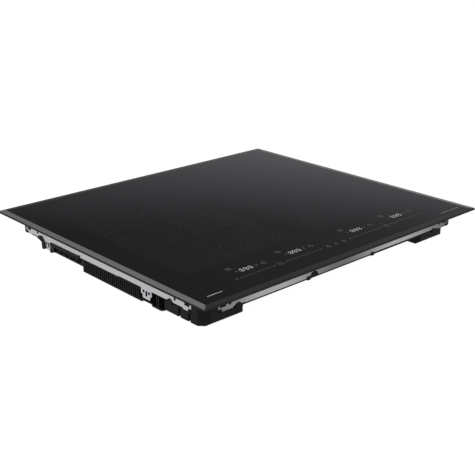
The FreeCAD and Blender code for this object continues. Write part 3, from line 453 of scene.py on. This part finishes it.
def zone_marks(name, material):
    """A small cross at the middle of each row of both zones."""
    sheet = Print(2 * PRINT_LIFT)
    for side in (-1, 1):
        for row in range(ZONE_ROWS):
            x, y = side * ZONE_X, ZONE_FRONT + (row + 0.5) * ROW_DEPTH
            sheet.line((x - MARK_REACH, y), (x + MARK_REACH, y), MARK_LINE)
            sheet.line((x, y + MARK_SPLIT), (x, y + MARK_REACH), MARK_LINE)
            sheet.line((x, y - MARK_REACH), (x, y - MARK_SPLIT), MARK_LINE)
    return sheet.finish(name, material)


# ---------------------------------------------------------------- control strip, in millimetres

SLIDERS = (-166.0, -69.2, 67.2, 166.0)
SLIDER_Y = -217.2
SLIDER_HALF = 34.6
SLIDER_LINE = 0.6
END_SPOT_GAP = 1.5
END_SPOT = 1.3
BEAD = 0.9

DIGIT_Y = -197.6
DIGIT_PITCH = 8.2
DIGIT_WIDTH = 5.2
DIGIT_DEPTH = 8.0
DIGIT_LINE = 0.8
ACROSS_GAP = 0.9
UPRIGHT_GAP = 1.0
SEGMENTS = (((-1, 1), (1, 1)), ((1, 0), (1, 1)), ((1, -1), (1, 0)), ((-1, -1), (1, -1)),
            ((-1, -1), (-1, 0)), ((-1, 0), (-1, 1)), ((-1, 0), (1, 0)))


def lit_eight(sheet, x, y):
    """A seven-segment figure with every segment lit."""
    for (x0, y0), (x1, y1) in SEGMENTS:
        gap_x, gap_y = (ACROSS_GAP, 0.0) if y0 == y1 else (0.0, UPRIGHT_GAP)
        sheet.line((x + x0 * DIGIT_WIDTH / 2 + gap_x, y + y0 * DIGIT_DEPTH / 2 + gap_y),
                   (x + x1 * DIGIT_WIDTH / 2 - gap_x, y + y1 * DIGIT_DEPTH / 2 - gap_y), DIGIT_LINE)


def displays(name, material):
    """Three figures over each slider."""
    sheet = Print(2 * PRINT_LIFT)
    for x in SLIDERS:
        for place in (-1, 0, 1):
            lit_eight(sheet, x + place * DIGIT_PITCH, DIGIT_Y)
    return sheet.finish(name, material)


def slider_print(name, material):
    """Four power sliders: a thin line with a spot at each end and one bead in the middle."""
    sheet = Print(2 * PRINT_LIFT)
    for x in SLIDERS:
        sheet.line((x - SLIDER_HALF, SLIDER_Y), (x + SLIDER_HALF, SLIDER_Y), SLIDER_LINE)
        for end in (-1, 1):
            sheet.disc(x + end * (SLIDER_HALF + END_SPOT_GAP), SLIDER_Y, END_SPOT)
        sheet.disc(x, SLIDER_Y, BEAD)
    return sheet.finish(name, material)


def zone_key(sheet, x, y):
    """A tall box crossed by a line, with a spot in each half."""
    width, depth = 6.4, 8.0
    sheet.rectangle(x, y, width, depth, 0.7)
    sheet.line((x - width / 2, y), (x + width / 2, y), 0.6)
    sheet.disc(x, y + 2.0, 1.0)
    sheet.disc(x, y - 2.2, 1.0)


def timer_key(sheet, x, y):
    """A clock face with two hands."""
    sheet.arc(x, y, 3.4, 0.9)
    sheet.line((x, y), (x, y + 2.2), 0.7)
    sheet.line((x, y), (x + 1.7, y), 0.7)


def link_key(sheet, x, y):
    """A square with a short bar in it."""
    sheet.rectangle(x, y, 7.4, 7.4, 0.8)
    sheet.line((x - 2.0, y), (x + 2.0, y), 0.8)


def lock_key(sheet, x, y):
    sheet.rectangle(x, y - 1.0, 5.4, 4.4, 0.9)
    sheet.arc(x, y + 1.2, 2.0, 0.8, 0.0, 180.0, 12)


def pause_key(sheet, x, y):
    for bar in (-1.2, 1.2):
        sheet.line((x + bar, y - 2.6), (x + bar, y + 2.6), 1.1)


def power_key(sheet, x, y):
    """A ring open at the top, with an upright stroke in the gap."""
    sheet.arc(x, y, 3.0, 0.9, 120.0, 420.0)
    sheet.line((x, y + 0.6), (x, y + 3.8), 0.9)


LINK_KEYS = (-117.6, 117.0)
LOCK_X, PAUSE_X, POWER_X = -17.2, -0.8, 16.2
STATE_SPOTS = ((-117.6, -206.8), (-1.4, -207.6), (117.2, -207.2))
STATE_SPOT = 0.9


def key_symbols(name, material):
    """Small generic key marks: four groups over the sliders, then the keys and spots between them."""
    sheet = Print(2 * PRINT_LIFT)
    for x in SLIDERS:
        zone_key(sheet, x - 20.4, -183.0)
        sheet.disc(x - 18.0, DIGIT_Y + 0.6, 1.4)
        sheet.line((x + 17.2, DIGIT_Y - 3), (x + 21.6, DIGIT_Y + 3), 1.2)
        timer_key(sheet, x + 32.8, DIGIT_Y - 0.8)
    for x in LINK_KEYS:
        link_key(sheet, x, SLIDER_Y)
    lock_key(sheet, LOCK_X, SLIDER_Y)
    pause_key(sheet, PAUSE_X, SLIDER_Y)
    power_key(sheet, POWER_X, SLIDER_Y)
    for x, y in STATE_SPOTS:
        sheet.disc(x, y, STATE_SPOT)
    return sheet.finish(name, material)


RULE_X, RULE_Y, RULE_LENGTH, RULE_LINE = -268.0, -233.4, 26.0, 1.5
DASH_X, DASH_Y, DASH_LENGTH, DASH_LINE = 230.0, -240.6, 2.9, 1.0
DASH_PITCH = 3.9
DASHES = 12


def corner_marks(name, material):
    """A plain rule near the left corner, and a row of short dashes near the right one."""
    sheet = Print(2 * PRINT_LIFT)
    sheet.line((RULE_X, RULE_Y), (RULE_X + RULE_LENGTH, RULE_Y), RULE_LINE)
    for step in range(DASHES):
        x = DASH_X + step * DASH_PITCH
        sheet.line((x, DASH_Y), (x + DASH_LENGTH, DASH_Y), DASH_LINE)
    return sheet.finish(name, material)


def make_prints():
    faint = printed("zone_dots", (0.050, 0.052, 0.056))
    mark = printed("zone_marks", (0.035, 0.035, 0.035))
    legend = printed("key_print", (0.13, 0.13, 0.13))
    lit = printed("lit_digits", (0.75, 0.75, 0.75), glow=0.4)
    zone_print("zone_field_left", -1, faint)
    zone_print("zone_field_right", 1, faint)
    zone_marks("zone_centre_marks", mark)
    displays("lit_digits", lit)
    slider_print("slider_lines", legend)
    key_symbols("key_symbols", legend)
    corner_marks("corner_marks", printed("corner_print", (0.5, 0.5, 0.5)))


# ---------------------------------------------------------------- ground edge of the glass

EDGE_PROUD = 0.00003
EDGE_INSET = 0.0003


def ground_edge(name, material):
    """The matt ground wall of the glass below its bevel, as one closed band."""
    maker = bmesh.new()
    loops = []
    for grow in (EDGE_PROUD, -EDGE_INSET):
        half_x, half_y = GLASS_HIGH.x + grow, GLASS_HIGH.y + grow
        for z in (GLASS_LOW.z, GLASS_LOW.z + EDGE_WALL):
            loops.append([maker.verts.new((x * half_x, y * half_y, z)) for x, y in SQUARE])
    outer_low, outer_high, inner_low, inner_high = loops
    bridge(maker, outer_low, outer_high)
    bridge(maker, outer_high, inner_high)
    bridge(maker, inner_high, inner_low)
    bridge(maker, inner_low, outer_low)
    return finished(name, maker, material)


# ---------------------------------------------------------------- underside

SHELF_UNDER = 0.023
RIB_HALF_THICK = 0.0008
RIB_DEPTH = 0.004
RIB_CHAMFER = 0.0003
FRONT_RIBS_Y = (-0.222, -0.200, -0.178)
FRONT_RIB_HALF = 0.160
REAR_RIBS_Y = (0.172, 0.190, 0.208)
REAR_RIB_INNER = 0.090
REAR_RIB_OUTER = 0.235

SCREW_RADIUS = 0.0035
SCREW_SIDES = 36
SOCKET_LOBES = 6
REAR_SCREWS = ((-0.250, 0.205), (0.250, 0.205))
FRONT_SCREWS = ((-0.190, -0.211), (0.0, -0.211), (0.150, -0.211))


def shelf_rib(maker, x0, x1, y):
    """A closed bar along X under a shelf, whose lower edges are chamfered."""
    y0, y1 = y - RIB_HALF_THICK, y + RIB_HALF_THICK
    foot, top = SHELF_UNDER - RIB_DEPTH, SHELF_UNDER
    section = [(y0, top), (y0, foot + RIB_CHAMFER), (y0 + RIB_CHAMFER, foot),
               (y1 - RIB_CHAMFER, foot), (y1, foot + RIB_CHAMFER), (y1, top)]
    near, far = ([maker.verts.new((x, *corner)) for corner in section] for x in (x0, x1))
    maker.faces.new(near)
    maker.faces.new(reversed(far))
    bridge(maker, near[::-1], far[::-1])


def shelf_ribs(name, material):
    """Stiffening ribs moulded under the front and rear shelves of the tray."""
    maker = bmesh.new()
    for y in FRONT_RIBS_Y:
        shelf_rib(maker, -FRONT_RIB_HALF, FRONT_RIB_HALF, y)
    for y in REAR_RIBS_Y:
        shelf_rib(maker, -REAR_RIB_OUTER, -REAR_RIB_INNER, y)
    for y in REAR_RIBS_Y:
        shelf_rib(maker, REAR_RIB_INNER, REAR_RIB_OUTER, y)
    return finished(name, maker, material)


def tray_screw(maker, x, y):
    """A pan head with a six-lobed socket, driven up into the shelf."""
    # each ring: its radius, its level from the shelf's underside, and how far its lobes reach out
    profile = [(SCREW_RADIUS, 0.0, 0.0), (SCREW_RADIUS, -0.0010, 0.0), (0.85 * SCREW_RADIUS, -0.0019, 0.0),
               (0.55 * SCREW_RADIUS, -0.0023, 0.0), (0.42 * SCREW_RADIUS, -0.0023, 0.0003),
               (0.40 * SCREW_RADIUS, -0.0008, 0.0003)]
    angles = [2 * math.pi * k / SCREW_SIDES for k in range(SCREW_SIDES)]
    rings = []
    for radius, drop, lobe in profile:
        ring = []
        for angle in angles:
            reach = radius + lobe * math.cos(SOCKET_LOBES * angle)
            ring.append(maker.verts.new((x + reach * math.cos(angle), y + reach * math.sin(angle),
                                         SHELF_UNDER + drop)))
        rings.append(ring)
    for outer, inner in zip(rings, rings[1:]):
        bridge(maker, outer[::-1], inner[::-1])
    maker.faces.new(rings[0])
    maker.faces.new(reversed(rings[-1]))


def tray_screws(name, material):
    maker = bmesh.new()
    for x, y in REAR_SCREWS + FRONT_SCREWS:
        tray_screw(maker, x, y)
    return finished(name, maker, material)


def make_details():
    """The pieces that sit on the glass's edge and under the tray."""
    matt_glass = moulded_plastic("ground_glass", (0.010, 0.0105, 0.0105), (0.016, 0.017, 0.017),
                                 roughness=0.6, grain=0.1, shine=0.05)
    ground_edge("glass_ground_edge", matt_glass)
    shelf_ribs("tray_shelf_ribs", MATERIALS["black_plastic"])
    tray_screws("tray_screw_heads", MATERIALS["screw_steel"])


# ---------------------------------------------------------------- stage

CAMERA_AZIMUTH = -42.524
CAMERA_ELEVATION = 20.479
CAMERA_DISTANCE = 1.5180
CAMERA_AIM = (0.0, 0.0009, 0.0004)
CAMERA_LENS = 68.62
CAMERA_SENSOR = 36.0

FLOOR_HALF = 12.0
FLOOR_LEVEL = -0.0004

# height of a direction, and the grey of the studio there
STUDIO_GREYS = ((0.0, 0.5), (0.20, 0.42), (0.26, 0.42), (0.30, 0.26), (0.32, 0.175), (0.34, 0.125),
                (0.42, 0.135), (1.0, 0.3))


def make_camera():
    """Looks at the middle of the hob's foot from the front left, above."""
    azimuth, elevation = math.radians(CAMERA_AZIMUTH), math.radians(CAMERA_ELEVATION)
    away = Vector((math.sin(azimuth) * math.cos(elevation), -math.cos(azimuth) * math.cos(elevation),
                   math.sin(elevation)))
    lens = bpy.data.cameras.new("camera")
    lens.sensor_width = CAMERA_SENSOR
    lens.lens = CAMERA_LENS
    camera = bpy.data.objects.new("camera", lens)
    camera.rotation_euler = away.to_track_quat("Z", "Y").to_euler()
    camera.location = away * CAMERA_DISTANCE + Vector(CAMERA_AIM)
    bpy.context.scene.collection.objects.link(camera)
    bpy.context.scene.camera = camera


def area_light(name, location, size, power):
    """A soft rectangle of light aimed at the middle of the floor."""
    lamp = bpy.data.lights.new(name, "AREA")
    lamp.shape = "RECTANGLE"
    lamp.size, lamp.size_y = size
    lamp.energy = power
    holder = bpy.data.objects.new(name, lamp)
    holder.location = location
    holder.rotation_euler = Vector(location).to_track_quat("Z", "Y").to_euler()
    # its square outline would show as a hard patch in the polished glass
    holder.visible_glossy = False
    bpy.context.scene.collection.objects.link(holder)


def make_floor():
    """A wide floor that glows nearly white."""
    maker = bmesh.new()
    maker.faces.new([maker.verts.new((x * FLOOR_HALF, y * FLOOR_HALF, FLOOR_LEVEL)) for x, y in SQUARE])
    mesh = bpy.data.meshes.new("floor")
    maker.to_mesh(mesh)
    maker.free()
    s = Shader("floor_white")
    s.set(Base_Color=(0.12, 0.12, 0.12, 1.0), Roughness=0.9, Specular_IOR_Level=0.0)
    s.set(Emission_Color=(1.0, 1.0, 1.0, 1.0), Emission_Strength=0.97)
    mesh.materials.append(s.material)
    floor = bpy.data.objects.new("floor", mesh)
    bpy.context.scene.collection.objects.link(floor)


def make_world():
    """Soft, slightly blue grey studio: pale near the horizon, darkest about 20 degrees above it."""
    world = bpy.data.worlds.new("studio")
    bpy.context.scene.world = world
    world.use_nodes = True
    studio = Nodes(world.node_tree)
    x, y, z = studio.split(studio.node("ShaderNodeTexCoord").outputs["Generated"])
    colour = studio.ramp(z, [(height, (grey * 0.98, grey, grey * 1.05)) for height, grey in STUDIO_GREYS])
    # brighter towards +X, dimmer towards +Y
    strength = studio.remap(studio.math("SUBTRACT", x, y), -0.62, 0.38, 0.35, 1.35)
    background = studio.tree.nodes["Background"]
    studio.feed(background.inputs["Color"], colour)
    studio.feed(background.inputs["Strength"], strength)


def make_stage():
    bpy.context.scene.view_settings.view_transform = "Standard"
    make_floor()
    make_world()
    area_light("key_left", (-2.2, -0.6, 1.6), (1.6, 1.6), 60.0)
    area_light("fill_front", (0.9, -2.4, 1.2), (1.8, 1.2), 25.0)


make_camera()
make_stage()
dress_cad_nodes()
make_prints()
make_details()
